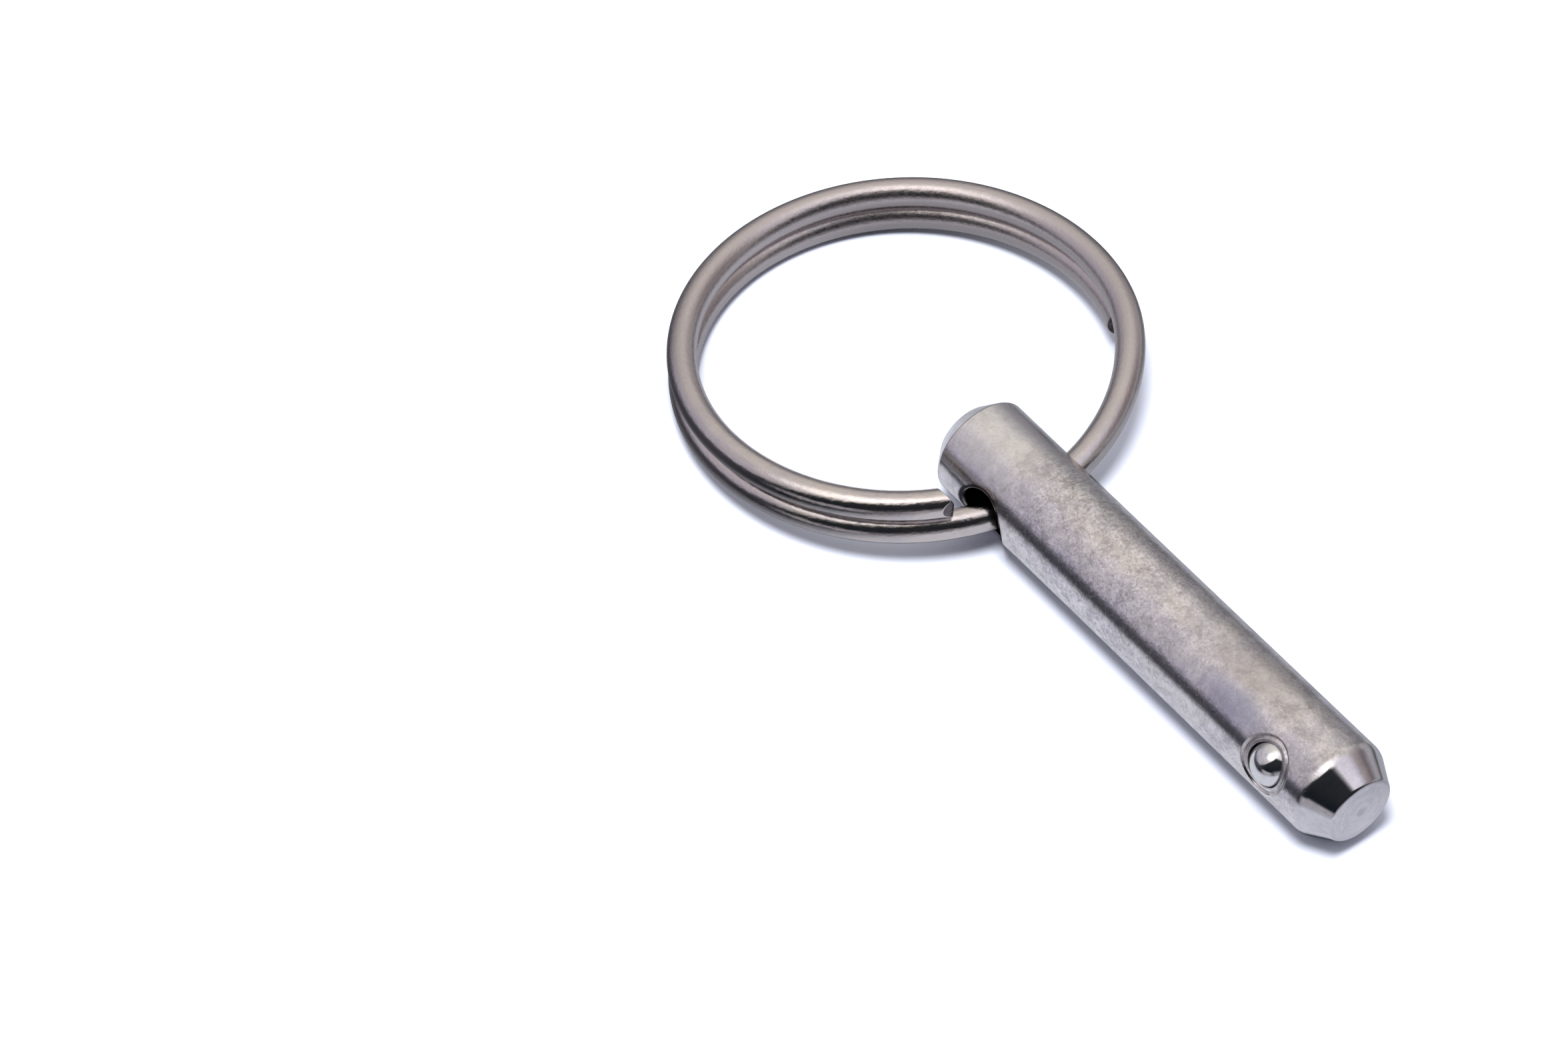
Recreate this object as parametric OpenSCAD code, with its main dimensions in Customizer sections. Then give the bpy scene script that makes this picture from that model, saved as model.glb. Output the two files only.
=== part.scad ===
// Quick release pin: solid round shank with a sprung detent ball near the tip
// and a two-turn split ring through a cross hole at the head end.
// Frame: +X runs along the shank from the head to the tip, +Z is up, and the
// origin is on the shank axis, midway along the plain grip between the cross
// hole and the ball. The pin lies on its side on the plane z = -pin_d/2, with
// the far side of the ring on that plane. Stations along the shank are given
// from the head end.

/* [Shank] */
// Shank diameter
pin_d = 6.35; // [6.2:0.05:6.5]
// Overall length
pin_len = 34.8; // [34:0.1:36]
// Length of the bevel at the head end
head_bevel_len = 1.1; // [0.6:0.1:1.3]
// Diameter of the flat at the head end
head_flat_d = 4.2; // [3.8:0.1:4.8]
// Length of the long bevel at the tip
nose_len = 1.85; // [1.6:0.05:2.1]
// Diameter that the nose bevel runs down to
nose_end_d = 4.3; // [4:0.1:4.8]
// Radius that rounds the nose into the end face
nose_round = 0.3; // [0.2:0.05:0.4]
// Radius that blends the shank into the nose
shoulder_round = 1.3; // [0.8:0.1:1.5]
// Diameter of the lathe centre mark in the end face
centre_mark_d = 0.7; // [0.4:0.1:1]

/* [Cross hole] */
// Distance of the cross hole from the head end
hole_x = 5.0; // [4.9:0.05:5.1]
// Diameter of the cross hole
hole_d = 3.44; // [3.4:0.02:3.5]
// Radius that eases both mouths of the cross hole
hole_ease = 0.32; // [0.2:0.02:0.36]
// How far the cross hole lies below the shank axis
hole_drop = 0.47; // [0.44:0.01:0.5]

/* [Detent] */
// Distance of the detent ball from the head end
ball_x = 29.8; // [29:0.1:30]
// Ball diameter
ball_d = 2.8; // [2.7:0.05:2.85]
// Height of the ball axis above level, round the shank
ball_rise = 23; // [20:0.5:26]
// How far the ball stands proud of the shank
ball_proud = 0.45; // [0.4:0.01:0.48]
// Radial clearance between the ball and its bore
ball_gap = 0.05; // [0.03:0.01:0.07]
// Thickness of solid metal left behind the blind bore
bore_floor = 1.3; // [1:0.1:1.5]
// Inner diameter of the staked lip that keeps the ball in
lip_d = 2.6; // [2.54:0.02:2.62]
// Outer diameter of the staking groove round the lip
stake_d = 3.3; // [3.2:0.05:3.4]
// Depth of the staking groove below the shank surface
stake_depth = 0.2; // [0.12:0.02:0.24]

/* [Spring] */
// Spring wire diameter
spring_wire = 0.3; // [0.26:0.02:0.32]
// Spring outer diameter
spring_od = 2.4; // [2.3:0.05:2.5]
// Number of turns
spring_turns = 5.5; // [4.5:0.5:6]

/* [Split ring] */
// Ring wire diameter
wire_d = 1.78; // [1.74:0.01:1.8]
// Mean diameter of the ring
ring_mean_d = 26.24; // [26.1:0.02:26.4]
// Spacing of the two turns, centre to centre
turn_pitch = 1.81; // [1.81:0.01:1.85]
// Angle that the two turns overlap
overlap_angle = 265; // [262:1:268]
// Angle from the upper end at which the wire starts down to the lower turn
drop_start = 266; // [265:1:270]
// Angle from the upper end at which it reaches the lower turn
drop_end = 347; // [344:1:349]
// Tilt of the ring, its near side lifted by the hole
ring_tilt = 3.96; // [3.9:0.01:4.02]

/* [Hidden] */
$fn = 96;

pin_r = pin_d / 2;
floor_z = -pin_r;
grip_mid = 17.6;                              // origin, from the head end

// The detent axis, in a frame turned so that local +Z points out of the ball's mouth.
detent_turn = 90 - ball_rise;
ball_r = ball_d / 2;
ball_h = pin_r + ball_proud - ball_r;         // ball centre, out from the shank axis
bore_r = ball_r + ball_gap;
bore_bottom = -pin_r + bore_floor;

// Ring: centre, and heading of its upper end. It turns clockwise from there, seen from above.
ring_r = ring_mean_d / 2;
wire_r = wire_d / 2;
ring_x = -7.41;
ring_y = 1.18;
ring_heading = -28;
// The lowest point of the wire meets the floor plane.
ring_z = floor_z + wire_r + (turn_pitch / 2) * cos(ring_tilt) + ring_r * sin(ring_tilt);
ring_sides = 18;
ring_step = 5;
ring_span = 360 + overlap_angle;
ring_n = ceil(ring_span / ring_step);

// ---- helpers ----

// Points of a round of radius r between two straight edges that meet at p
// coming from a and leaving for b, all [x, y].
function unit(v) = v / norm(v);
function round_pts(a, p, b, r, n = 7) =
    let (u = unit(a - p), w = unit(b - p),
         half = acos(u * w) / 2,
         t = r / tan(half),
         c = p + unit(u + w) * (r / sin(half)),
         s = p + u * t, e = p + w * t,
         a0 = atan2(s[1] - c[1], s[0] - c[0]),
         a1 = atan2(e[1] - c[1], e[0] - c[0]),
         d = a1 - a0, dd = d > 180 ? d - 360 : d < -180 ? d + 360 : d)
    [for (i = [0 : n]) c + r * [cos(a0 + dd * i / n), sin(a0 + dd * i / n)]];

function smooth(t) = let (c = min(1, max(0, t))) c * c * (3 - 2 * c);

// Orthonormal frame across a path direction t, from a reference direction.
function side_a(t, ref) = unit(cross(t, ref));
function side_b(t, ref) = cross(t, side_a(t, ref));

// Closed tube swept along path points, with flat ends.
module tube(path, r, sides, ref) {
    n = len(path);
    tan_at = [for (i = [0 : n - 1])
        unit(path[min(n - 1, i + 1)] - path[max(0, i - 1)])];
    pts = [for (i = [0 : n - 1], k = [0 : sides - 1])
        path[i] + r * (cos(360 * k / sides) * side_a(tan_at[i], ref)
                     + sin(360 * k / sides) * side_b(tan_at[i], ref))];
    sides_f = [for (i = [0 : n - 2], k = [0 : sides - 1])
        [i * sides + k, (i + 1) * sides + k,
         (i + 1) * sides + (k + 1) % sides, i * sides + (k + 1) % sides]];
    caps = [[for (k = [0 : sides - 1]) k],
            [for (k = [sides - 1 : -1 : 0]) (n - 1) * sides + k]];
    polyhedron(points = pts, faces = concat(sides_f, caps));
}

// ---- shank ----

// Half section of the shank: x is the radius, y runs from the head to the tip.
function shank_section() = concat(
    [[0, 0]],
    round_pts([0, 0], [head_flat_d / 2, 0], [pin_r, head_bevel_len], 0.12, 4),
    round_pts([head_flat_d / 2, 0], [pin_r, head_bevel_len], [pin_r, 8], 0.15, 3),
    round_pts([pin_r, 8], [pin_r, pin_len - nose_len], [nose_end_d / 2, pin_len], shoulder_round, 7),
    round_pts([pin_r, pin_len - nose_len], [nose_end_d / 2, pin_len], [0, pin_len], nose_round, 7),
    [[0, pin_len]]);

module shank_blank() {
    rotate([0, 90, 0]) rotate([0, 0, 180]) rotate_extrude($fn = 128) polygon(shank_section());
}

// Height of the shank's surface over the plane y = 0, at a distance q from the
// axis of the cross hole and an angle f round it.
function mouth_y(q, f) = sqrt(pow(pin_r, 2) - pow(q * sin(f) - hole_drop, 2));

// Even flare of one mouth: rings of points from inside the hole, round the eased
// edge and on past the surface. They lap a little over the wall and the surface.
module mouth_flare(n = 48, steps = 3, lap = 0.006) {
    hole_r = hole_d / 2 - lap;
    rings = concat(
        [for (i = [0 : steps]) let (t = 90 * i / steps)
            [hole_r + hole_ease * (1 - cos(t)), hole_ease * (1 - sin(t)) - lap]],
        [[hole_r + hole_ease, -1]]);
    m = len(rings);
    pts = concat(
        [for (g = rings, k = [0 : n - 1]) let (f = 360 * k / n)
            [g[0] * cos(f), mouth_y(g[0], f) - g[1], g[0] * sin(f)]],
        [[0, mouth_y(hole_r, 90) - 1, 0], [0, pin_r + 1, 0]]);
    walls = [for (i = [0 : m - 2], k = [0 : n - 1])
        [i * n + k, i * n + (k + 1) % n, (i + 1) * n + (k + 1) % n, (i + 1) * n + k]];
    ends = [for (k = [0 : n - 1]) each [
        [m * n, (k + 1) % n, k],
        [m * n + 1, (m - 1) * n + k, (m - 1) * n + (k + 1) % n]]];
    polyhedron(points = pts, faces = concat(walls, ends));
}

// Through hole for the ring. It runs level, a little below the shank axis, with
// both mouths eased.
module cross_hole() {
    translate([hole_x, 0, -hole_drop]) {
        rotate([90, 0, 0]) cylinder(d = hole_d, h = 3 * pin_d, center = true);
        mouth_flare();
        mirror([0, 1, 0]) mouth_flare();
    }
}

// Frame of the detent: +Z runs out through the mouth of the ball's bore.
module at_detent() {
    translate([ball_x, 0, 0]) rotate([detent_turn, 0, 0]) children();
}

// Blind bore: straight to the ball's widest part, then a round seat, then the lip.
module ball_bore() {
    at_detent() {
        translate([0, 0, bore_bottom]) cylinder(r = bore_r, h = ball_h - bore_bottom);
        translate([0, 0, ball_h]) sphere(r = bore_r);
        cylinder(d = lip_d, h = 2 * pin_r);
    }
}

// Staking: a groove of even depth under the shank surface, and a lip just below it.
module staking() {
    difference() {
        at_detent() difference() {
            cylinder(d = stake_d, h = 2 * pin_r);
            translate([0, 0, -1]) cylinder(d = lip_d + 0.2, h = 3 * pin_r);
        }
        rotate([0, 90, 0]) cylinder(r = pin_r - stake_depth, h = 2 * pin_len, center = true, $fn = 128);
    }
    difference() {
        at_detent() cylinder(d = lip_d + 0.2, h = 2 * pin_r);
        rotate([0, 90, 0]) cylinder(r = pin_r - stake_depth / 2, h = 2 * pin_len, center = true, $fn = 128);
    }
}

module pin_body() {
    color([0.66, 0.65, 0.64]) difference() {
        shank_blank();
        cross_hole();
        ball_bore();
        staking();
        // lathe centre mark
        translate([pin_len - 0.1, 0, 0]) rotate([0, 90, 0])
            cylinder(d1 = 0.2, d2 = centre_mark_d * 1.5, h = 0.2, $fn = 48);
    }
}

// ---- detent ----

module detent_ball() {
    color([0.8, 0.8, 0.82]) at_detent() translate([0, 0, ball_h]) sphere(r = ball_r, $fn = 96);
}

// Spring path: from the bore floor up to the ball, with closed end turns.
spring_r = (spring_od - spring_wire) / 2;
spring_z0 = bore_bottom + spring_wire / 2;
spring_z1 = ball_h - sqrt(pow(ball_r + spring_wire / 2, 2) - pow(spring_r, 2)) - 0.04;
function spring_rise(u) = let (e = 0.8, m = spring_turns - 2 * e, low = spring_wire * 0.8)
    u < e ? low * u / e
    : u > spring_turns - e ? (spring_z1 - spring_z0) - low * (spring_turns - u) / e
    : low + (spring_z1 - spring_z0 - 2 * low) * (u - e) / m;

module detent_spring() {
    n = round(spring_turns * 20);
    color([0.62, 0.6, 0.58]) at_detent()
        tube([for (i = [0 : n]) let (u = spring_turns * i / n)
                [spring_r * cos(360 * u), spring_r * sin(360 * u), spring_z0 + spring_rise(u)]],
             spring_wire / 2, 8, [0, 0, 1]);
}

// ---- split ring ----

// Wire centre at angle a, measured along the wire from its upper end.
function ring_level(a) = (turn_pitch / 2) * (1 - 2 * smooth((a - drop_start) / (drop_end - drop_start)));
function ring_local(a) = [ring_r * cos(ring_heading - a), ring_r * sin(ring_heading - a), ring_level(a)];
function ring_point(a) = let (p = ring_local(a))
    [ring_x + p[0] * cos(ring_tilt) - p[2] * sin(ring_tilt),
     ring_y + p[1],
     ring_z + p[0] * sin(ring_tilt) + p[2] * cos(ring_tilt)];

module split_ring() {
    color([0.68, 0.66, 0.63])
        tube([for (i = [0 : ring_n]) ring_point(ring_span * i / ring_n)],
             wire_r, ring_sides, [-sin(ring_tilt), 0, cos(ring_tilt)]);
}

module placed() { translate([-grip_mid, 0, 0]) children(); }

placed() pin_body();
placed() detent_ball();
placed() detent_spring();
placed() split_ring();
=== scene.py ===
import math

import bmesh
import bpy
import numpy as np
from mathutils import Matrix, Vector
from mathutils.geometry import delaunay_2d_cdt


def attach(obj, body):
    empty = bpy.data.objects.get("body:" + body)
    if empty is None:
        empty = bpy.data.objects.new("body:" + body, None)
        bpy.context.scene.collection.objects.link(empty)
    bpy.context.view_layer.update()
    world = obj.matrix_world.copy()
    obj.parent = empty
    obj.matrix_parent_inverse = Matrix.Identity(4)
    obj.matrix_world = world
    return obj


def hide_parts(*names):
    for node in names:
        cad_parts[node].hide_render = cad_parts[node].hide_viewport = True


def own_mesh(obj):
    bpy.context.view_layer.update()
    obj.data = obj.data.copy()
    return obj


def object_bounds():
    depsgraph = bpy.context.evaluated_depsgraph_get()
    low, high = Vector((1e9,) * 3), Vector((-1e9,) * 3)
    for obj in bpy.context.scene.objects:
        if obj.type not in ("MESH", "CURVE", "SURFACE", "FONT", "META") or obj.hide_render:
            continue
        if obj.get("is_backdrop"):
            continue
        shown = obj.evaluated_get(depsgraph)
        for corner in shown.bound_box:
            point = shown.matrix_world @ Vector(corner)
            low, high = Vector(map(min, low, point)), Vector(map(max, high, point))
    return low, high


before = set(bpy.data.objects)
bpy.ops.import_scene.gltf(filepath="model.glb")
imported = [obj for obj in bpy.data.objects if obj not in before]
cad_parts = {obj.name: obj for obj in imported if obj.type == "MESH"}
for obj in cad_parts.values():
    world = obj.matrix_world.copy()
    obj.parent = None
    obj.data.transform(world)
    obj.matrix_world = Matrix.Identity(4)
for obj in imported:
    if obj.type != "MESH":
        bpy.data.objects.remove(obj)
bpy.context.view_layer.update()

# ---------------------------------------------------------------- sizes, mm
# The same sizes as the CAD. Stations X count from the head end, and the frame's x is X - GRIP.
MM = 0.001
GRIP = 17.6
R = 3.175                     # shank radius
LEN = 34.8
HOLE_X, HOLE_R, HOLE_DROP = 5.0, 1.72, 0.47
HOLE_EASE = 0.32              # radius that eases the mouths of the cross hole
BALL_X, BALL_R, BALL_RISE, BALL_PROUD = 29.8, 1.4, 23.0, 0.45
BALL_H = R + BALL_PROUD - BALL_R
BORE_R, BORE_END = 1.45, -1.875
WIRE_R, RING_R, RING_TILT = 0.89, 13.12, 3.96
RING_X, RING_Y, RING_HEAD = -7.41, 1.18, -28.0
HALF_PITCH, OVERLAP = 0.905, 265.0
DROP0, DROP1 = 266.0, 347.0
FLOOR_Z = -R


def unit(v):
    v = np.asarray(v, float)
    return v / np.linalg.norm(v)


def smooth(t):
    t = np.clip(t, 0.0, 1.0)
    return t * t * (3 - 2 * t)


# ---------------------------------------------------------------- light, by direction
# Azimuths and elevations in degrees in the part's frame. The camera stands at azimuth -37.
DOME = [(-90, (0.13, 0.13, 0.14)), (-12, (0.13, 0.13, 0.14)), (0, (0.22, 0.22, 0.232)), (10, (0.27, 0.27, 0.282)),
        (20, (0.44, 0.435, 0.43)), (30, (0.60, 0.59, 0.575)), (42, (0.74, 0.725, 0.70)), (55, (0.80, 0.78, 0.74)),
        (66, (0.86, 0.835, 0.79)), (74, (1.14, 1.11, 1.07)), (82, (1.46, 1.43, 1.40)), (90, (1.52, 1.50, 1.47))]
RIGHT = (78, 22, 48, 8, 24, 0.24)              # azimuth, half width inside and out, fades between, amount
FRONT_LAMP = (-48, 76, 7, 18, 0.42)
RIGHT_LAMP = (36, 58, 10, 27, 0.22)
RIGHT_SHADE = (69, 30, 8, 30, -0.25)
BACK_LAMP = (131, 43, 5, 16, 0.10)
LEFT_SHADE = (-137, 49, 3, 11, -0.13)
FAR_TABLE = (-72, 10, 30, -19, -12, -3, 4, 0.47)   # azimuth, half width inside and out, rises, fades, amount
NEAR_TABLE = (-21, 10, 34, -30, -22, -3, 16, 0.40)
LEFT = (-140, 24, 38, 2, 6, 12, 32, 0.25)      # azimuth, half width inside and out, rises, fades, amount
LAMP = (-95, 67, 10, 23, 0.76)                 # azimuth, elevation, inner and outer radius, amount
# The dark room behind the camera: the height it reaches, and how much light is left in it, by azimuth.
DARK_TOP = [(-180, -14), (-150, -6), (-128, 3), (-112, 6), (-102, 14), (-93, 24), (-87, 32), (-81, 40), (-74, 46), (-64, 54),
            (-53, 60), (-40, 67), (-28, 69), (-14, 64), (-3, 59), (7, 52), (14, 43), (24, 30), (34, 14), (44, -2), (60, -14), (180, -14)]
DARK_LEFT = [(-180, 0.5), (-128, 0.5), (-110, 0.3), (-92, 0.06), (-78, 0.03), (20, 0.03), (40, 0.3), (60, 0.5), (180, 0.5)]
DARK_EDGE = (-3.0, 5.0)                        # soft edge, degrees, times the next
DARK_SOFT = [(-180, 1), (-34, 1), (-16, 2.3), (16, 2.6), (40, 1), (180, 1)]
KEY = (-64, 76, 0.40, 0.14, 1.75)             # azimuth, elevation, distance, diameter, watts
POOL = (1, 5, 42, 19, 0.72, 1.32)              # centre x and y, half sizes, fall-off, in mm
POOL_COLOR = (0.67, 0.70, 0.765)

# ---------------------------------------------------------------- mesh tools

class Sheet:
    """Collects patches of vertices with their own normals, welds them where they meet, and turns every face outward."""

    def __init__(self):
        self.co, self.no, self.faces, self.key = [], [], [], {}

    def point(self, p, n):
        k = (round(p[0], 4), round(p[1], 4), round(p[2], 4))
        i = self.key.get(k)
        if i is None:
            i = self.key[k] = len(self.co)
            self.co.append(tuple(float(c) for c in p))
            self.no.append(tuple(float(c) for c in n))
        return i

    def face(self, ids):
        out = []
        for i in ids:
            if i not in out:
                out.append(i)
        if len(out) < 3:
            return
        a, b, c = (np.array(self.co[i]) for i in (out[0], out[1], out[-1]))
        n = np.cross(b - a, c - a)
        want = sum(np.array(self.no[i]) for i in out)
        self.faces.append(out if n @ want >= 0 else out[::-1])

    def grid(self, pts, nos, wrap=True):
        """Rows of points; each row closes on itself when wrap is set."""
        ids = [[self.point(p, n) for p, n in zip(rp, rn)] for rp, rn in zip(pts, nos)]
        cols = len(ids[0])
        for r in range(len(ids) - 1):
            for c in range(cols if wrap else cols - 1):
                d = (c + 1) % cols
                self.face([ids[r][c], ids[r][d], ids[r + 1][d], ids[r + 1][c]])
        return ids

    def build(self, name):
        me = bpy.data.meshes.new(name)
        co = np.array(self.co)
        co[:, 0] -= GRIP
        me.from_pydata((co * MM).tolist(), [], self.faces)
        me.update()
        me.shade_smooth()
        me.normals_split_custom_set_from_vertices([tuple(unit(n)) for n in self.no])
        ob = bpy.data.objects.new(name, me)
        bpy.context.scene.collection.objects.link(ob)
        return ob


def grid_normals(pts, toward=None):
    """Vertex normals of a wrapped grid from its own faces, turned towards the given directions."""
    p = np.asarray(pts)
    du = np.roll(p, -1, axis=1) - np.roll(p, 1, axis=1)
    dv = np.gradient(p, axis=0)
    n = np.cross(du, dv)
    n /= np.maximum(np.linalg.norm(n, axis=2, keepdims=True), 1e-12)
    if toward is not None:
        flip = np.sum(n * toward, axis=2) < 0
        n[flip] *= -1
    return n


def rounded(points, radii, n=6):
    """A half section with rounded corners, as (x, r, nx, nr) rows. It is walked so that the outside is on its left."""
    rows = []
    for i, (p, rad) in enumerate(zip(points, radii)):
        p = np.array(p, float)
        if i == 0 or i == len(points) - 1:
            d = unit(np.array(points[1]) - p) if i == 0 else unit(p - np.array(points[-2]))
            rows.append((*p, -d[1], d[0]))
            continue
        d0, d1 = unit(p - np.array(points[i - 1])), unit(np.array(points[i + 1]) - p)
        n0, n1 = np.array([-d0[1], d0[0]]), np.array([-d1[1], d1[0]])
        c = p - rad * (n0 + n1) / (1 + n0 @ n1)
        for t in np.linspace(0, 1, n + 1):
            m = unit(n0 * (1 - t) + n1 * t)
            rows.append((*(c + rad * m), *m))
    return rows


# ---------------------------------------------------------------- shank

TURN = 240
thetas = np.radians(-90 + 360 * np.arange(TURN) / TURN)


def ring_of(x, r, nx, nr):
    pts = [(x, r * math.cos(t), r * math.sin(t)) for t in thetas]
    nos = [(nx, nr * math.cos(t), nr * math.sin(t)) for t in thetas]
    return pts, nos


def lathe(sheet, rows):
    g = [ring_of(*r) for r in rows]
    return sheet.grid([a for a, _ in g], [b for _, b in g])


def fill_in(rows, step):
    """Adds rows on long straight runs, so that no face is much longer than step."""
    out = [rows[0]]
    for a, b in zip(rows, rows[1:]):
        k = max(1, int(math.dist(a[:2], b[:2]) / step))
        for i in range(1, k + 1):
            t = i / k
            m = [a[j] * (1 - t) + b[j] * t for j in range(4)]
            m[2], m[3] = unit(m[2:])
            out.append(tuple(m))
    return out


shank = Sheet()

# Head end: flat face, bevel, and the two rounds on it.
head = rounded([(0.0, 0.02), (0.0, 2.1), (1.1, R), (6.0, R)], [0, 0.14, 0.22, 0], 6)[:-1]
head_rows = fill_in(head, 0.22)
x_head = head_rows[-1][0]
lathe(shank, head_rows)
centre = shank.point((0.0, 0.0, 0.0), (-1, 0, 0))
first = [shank.point(p, n) for p, n in zip(*ring_of(*head_rows[0]))]
for c in range(TURN):
    shank.face([centre, first[c], first[(c + 1) % TURN]])

# Tip: shoulder round, long bevel, round into a face that is very slightly crowned and has a lathe centre mark.
face_r = 1.80


def face_x(r):
    crown = 0.035 * (1 - (r / face_r) ** 2)
    pit = 0.055 * float(1 - smooth((r - 0.05) / 0.36))
    rings = 0.0022 * math.sin(2 * math.pi * r / 0.27) * float(smooth((r - 0.3) / 0.3) * (1 - smooth((r - 1.5) / 0.3)))
    return LEN + crown - pit + rings


tip = rounded([(28.0, R), (LEN - 1.85, R), (LEN, 2.15), (LEN, face_r)], [0, 1.3, 0.3, 0], 10)[1:-1]
tip_rows = fill_in(tip, 0.2)
x_tip = tip_rows[0][0]
for r in np.linspace(face_r, 0.02, 44):
    h = 1e-3
    slope = (face_x(r + h) - face_x(max(r - h, 0))) / (r + h - max(r - h, 0))
    n = unit([1.0, -slope])
    tip_rows.append((face_x(r), r, n[0], n[1]))
lathe(shank, tip_rows)
centre = shank.point((face_x(0), 0.0, 0.0), (1, 0, 0))
last = [shank.point(p, n) for p, n in zip(*ring_of(*tip_rows[-1]))]
for c in range(TURN):
    shank.face([centre, last[c], last[(c + 1) % TURN]])

# Cross hole. It runs level along y, and an even flare eases each mouth.
hole_e1 = np.array([1.0, 0.0, 0.0])
MOUTH = 168
phis = 2 * math.pi * np.arange(MOUTH) / MOUTH


def mouth(sign, steps=10):
    """Rows from the loop on the shank's surface down to the loop on the hole's wall."""
    rows_p, rows_n = [[] for _ in range(steps + 1)], [[] for _ in range(steps + 1)]
    for i in range(steps + 1):
        t = math.pi / 2 * (1 - i / steps)
        q, dq = HOLE_R + HOLE_EASE * (1 - math.cos(t)), HOLE_EASE * math.sin(t)
        for ph in phis:
            z = -HOLE_DROP + q * math.sin(ph)
            y = math.sqrt(R * R - z * z)
            along = np.array([dq * math.cos(ph), -z * dq * math.sin(ph) / y + HOLE_EASE * math.cos(t), dq * math.sin(ph)])
            across = np.array([-q * math.sin(ph), -z * q * math.cos(ph) / y, q * math.cos(ph)])
            n = unit(np.cross(along, across))
            if n @ np.array([-math.cos(ph), 1.0, -math.sin(ph)]) < 0:
                n = -n
            p = np.array([HOLE_X + q * math.cos(ph), y - HOLE_EASE * (1 - math.sin(t)), z])
            flip = np.array([1, sign, 1])
            rows_p[i].append(p * flip)
            rows_n[i].append(n * flip)
    return rows_p, rows_n


far_p, far_n = mouth(1)
near_p, near_n = mouth(-1)
wall_p, wall_n = [], []
for t in np.linspace(0, 1, 26):
    wall_p.append([np.array(a) * (1 - t) + np.array(b) * t for a, b in zip(far_p[-1], near_p[-1])])
    wall_n.append(far_n[-1])

# Recess round the ball: staking groove, rolled lip, narrow gap, then the blind bore.
ball_t = math.radians(180 - BALL_RISE)
ball_d = np.array([0.0, math.cos(ball_t), math.sin(ball_t)])   # out through the mouth
ball_e2 = np.cross(ball_d, hole_e1)
ball_c = np.array([BALL_X, 0.0, 0.0])


def stake_depth(q):
    d = 0.15 * smooth((1.80 - q) / 0.17)
    d -= 0.085 * smooth((1.63 - q) / 0.13)
    d += 0.03 * smooth((1.47 - q) / 0.12)
    return float(d)


recess_q = np.concatenate([np.linspace(1.82, 1.355, 26)])
recess_p = []
for q in recess_q:
    row = []
    for ph in phis:
        s = q * math.sin(ph)
        z = math.sqrt(R * R - s * s) - stake_depth(q)
        row.append(ball_c + q * math.cos(ph) * hole_e1 + s * ball_e2 + z * ball_d)
    recess_p.append(row)
edge_z = [math.sqrt(R * R - (1.355 * math.sin(ph)) ** 2) - stake_depth(1.355) for ph in phis]
for a in np.linspace(10, 90, 7):                                # the lip rolls over into the gap
    q = 1.355 - 0.055 * math.sin(math.radians(a))
    drop = 0.055 * (1 - math.cos(math.radians(a)))
    recess_p.append([ball_c + q * math.cos(ph) * hole_e1 + q * math.sin(ph) * ball_e2 + (z - drop) * ball_d
                     for ph, z in zip(phis, edge_z)])
for t in np.linspace(0.12, 1, 8):                               # down and out to the bore
    q = 1.30 + (BORE_R - 1.30) * float(smooth(t))
    recess_p.append([ball_c + q * math.cos(ph) * hole_e1 + q * math.sin(ph) * ball_e2
                     + ((z - 0.055) * (1 - t) + BALL_H * t) * ball_d for ph, z in zip(phis, edge_z)])
for z in np.linspace(BALL_H, BORE_END, 9)[1:]:
    recess_p.append([ball_c + BORE_R * (math.cos(ph) * hole_e1 + math.sin(ph) * ball_e2) + z * ball_d for ph in phis])
for q in (1.0, 0.5, 0.02):
    recess_p.append([ball_c + q * (math.cos(ph) * hole_e1 + math.sin(ph) * ball_e2) + BORE_END * ball_d for ph in phis])
inward = np.array([[-(math.cos(ph) * hole_e1 + math.sin(ph) * ball_e2) + 0.6 * ball_d for ph in phis]] * len(recess_p))
recess_n = grid_normals(recess_p, inward)
recess_n[0] = [unit([0, p[1], p[2]]) for p in recess_p[0]]

# The plain wall between head and tip, laid out flat with the three mouths cut from it.


def flat(p):
    t = math.atan2(p[2], p[1])
    while t < -math.pi / 2:
        t += 2 * math.pi
    return (p[0], R * (t + math.pi / 2))


def inside(poly, pts):
    poly, pts = np.asarray(poly), np.asarray(pts)
    hit = np.zeros(len(pts), bool)
    x, y = pts[:, 0], pts[:, 1]
    for a, b in zip(poly, np.roll(poly, -1, axis=0)):
        if a[1] == b[1]:
            continue
        cut = (a[1] > y) != (b[1] > y)
        hit ^= cut & (x < (b[0] - a[0]) * (y - a[1]) / (b[1] - a[1]) + a[0])
    return hit


loops3 = [far_p[0], near_p[0], recess_p[0]]
loops2 = [[flat(p) for p in lp] for lp in loops3]
around = 2 * math.pi * R
ss = R * (2 * math.pi * np.arange(TURN + 1) / TURN)
ss[-1] = around
xs = np.linspace(x_head, x_tip, 76)
gx, gs = np.meshgrid(xs, ss, indexing="ij")
gpts = np.stack([gx.ravel(), gs.ravel()], 1)
keep = np.ones(len(gpts), bool)
for lp in loops2:
    keep &= ~inside(lp, gpts)
    a = np.asarray(lp)
    box = (gpts > a.min(0) - 0.2).all(1) & (gpts < a.max(0) + 0.2).all(1)
    near = np.zeros(len(gpts), bool)
    idx = np.nonzero(box)[0]
    dist = np.min(np.linalg.norm(gpts[idx][:, None] - a[None], axis=2), axis=1)
    near[idx] = dist < 0.05
    keep &= ~near
verts2 = [tuple(p) for p in gpts[keep]]
index = {}
for i, p in enumerate(verts2):
    index[(round(p[0], 6), round(p[1], 6))] = i
edges2 = []


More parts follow.
